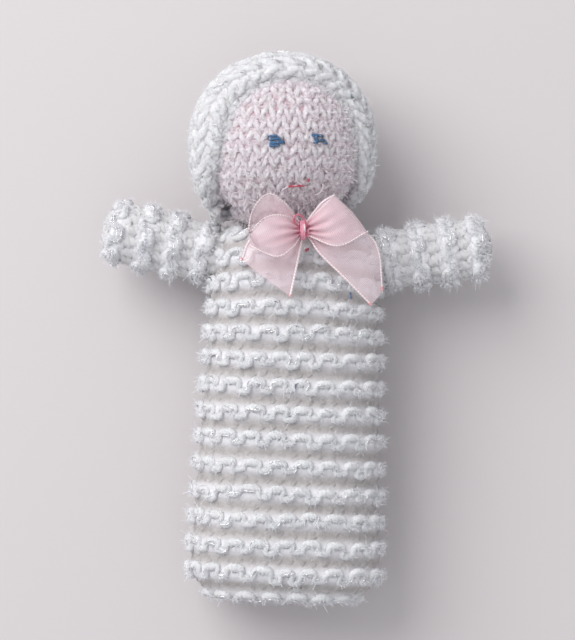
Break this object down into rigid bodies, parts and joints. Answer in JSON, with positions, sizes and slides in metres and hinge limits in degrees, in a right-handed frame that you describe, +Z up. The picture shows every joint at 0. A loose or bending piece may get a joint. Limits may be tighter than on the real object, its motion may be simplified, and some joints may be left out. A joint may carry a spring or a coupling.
{
  "type": "knitted baby doll",
  "caption": "Small hand-knitted stuffed doll lying on its back, with a hooded round head, stubby sewn-on arms, a sack body and a ribbon bow at the neck.",
  "frame": {"origin": "on the surface the doll lies on, under the middle of its outline", "axes": "+Z up out of the chest, +Y from the base to the head, so +X is towards the doll's own left hand"},
  "size_m": [0.078, 0.107, 0.0329],
  "materials": {
    "white_yarn": "soft matt yarn with a fine glinting filament",
    "pink_yarn": "soft matt yarn",
    "fibre_filling": "matt loose fibre",
    "blue_thread": "satin thread",
    "red_thread": "satin thread",
    "rose_thread": "satin thread",
    "pink_ribbon": "sheer satin-edged weave"
  },
  "bodies": {
    "torso": {"body_cover": "white_yarn", "body_filling": "fibre_filling", "body_back_seam": "white_yarn", "base_gather_yarn": "white_yarn", "neck_gather_yarn": "white_yarn", "bow_anchor_stitch": "rose_thread", "bow_lower_stitch": "rose_thread"},
    "neck": {"neck_filling": "fibre_filling"},
    "head": {"head_cover": "pink_yarn", "head_filling": "fibre_filling", "crown_gather_yarn": "pink_yarn", "hood": "white_yarn", "hood_back_seam": "white_yarn", "left_eye": "blue_thread", "right_eye": "blue_thread", "mouth": "red_thread"},
    "left_shoulder": {"left_shoulder_tie": "white_yarn"},
    "left_arm": {"left_arm_cover": "white_yarn", "left_arm_filling": "fibre_filling", "left_arm_seam": "white_yarn"},
    "right_shoulder": {"right_shoulder_tie": "white_yarn"},
    "right_arm": {"right_arm_cover": "white_yarn", "right_arm_filling": "fibre_filling", "right_arm_seam": "white_yarn"},
    "bow": {"bow_ribbon": "pink_ribbon", "bow_binding_thread": "rose_thread", "bow_thread_loop": "rose_thread"}
  },
  "joints": [
    {"name": "head_turn", "type": "hinge", "parent": "torso", "child": "neck", "pos_m": [0.00021, 0.0215, 0.012], "axis": [0, 1, 0], "range_deg": [-20, 14], "stiffness_Nm_per_rad": 0.02},
    {"name": "head_nod", "type": "hinge", "parent": "neck", "child": "head", "pos_m": [0.00021, 0.0215, 0.012], "axis": [1, 0, 0], "range_deg": [-14, 5], "stiffness_Nm_per_rad": 0.02},
    {"name": "left_arm_raise", "type": "hinge", "parent": "torso", "child": "left_shoulder", "pos_m": [0.0164, 0.01327, 0.012], "axis": [0, 0, 1], "range_deg": [-20, 28], "stiffness_Nm_per_rad": 0.003},
    {"name": "left_arm_fold", "type": "hinge", "parent": "left_shoulder", "child": "left_arm", "pos_m": [0.0164, 0.01327, 0.012], "axis": [0.1219, -0.9925, 0], "range_deg": [-14, 28], "stiffness_Nm_per_rad": 0.003},
    {"name": "right_arm_raise", "type": "hinge", "parent": "torso", "child": "right_shoulder", "pos_m": [-0.01657, 0.01454, 0.012], "axis": [0, 0, -1], "range_deg": [-26, 18], "stiffness_Nm_per_rad": 0.003},
    {"name": "right_arm_fold", "type": "hinge", "parent": "right_shoulder", "child": "right_arm", "pos_m": [-0.01657, 0.01454, 0.012], "axis": [0.225, 0.9744, 0], "range_deg": [-14, 28], "stiffness_Nm_per_rad": 0.003},
    {"name": "bow_swivel", "type": "hinge", "parent": "torso", "child": "bow", "pos_m": [0.0012, 0.01876, 0.02339], "axis": [0, 0, 1], "range_deg": [-8, 8], "stiffness_Nm_per_rad": 0.0002}
  ]
}
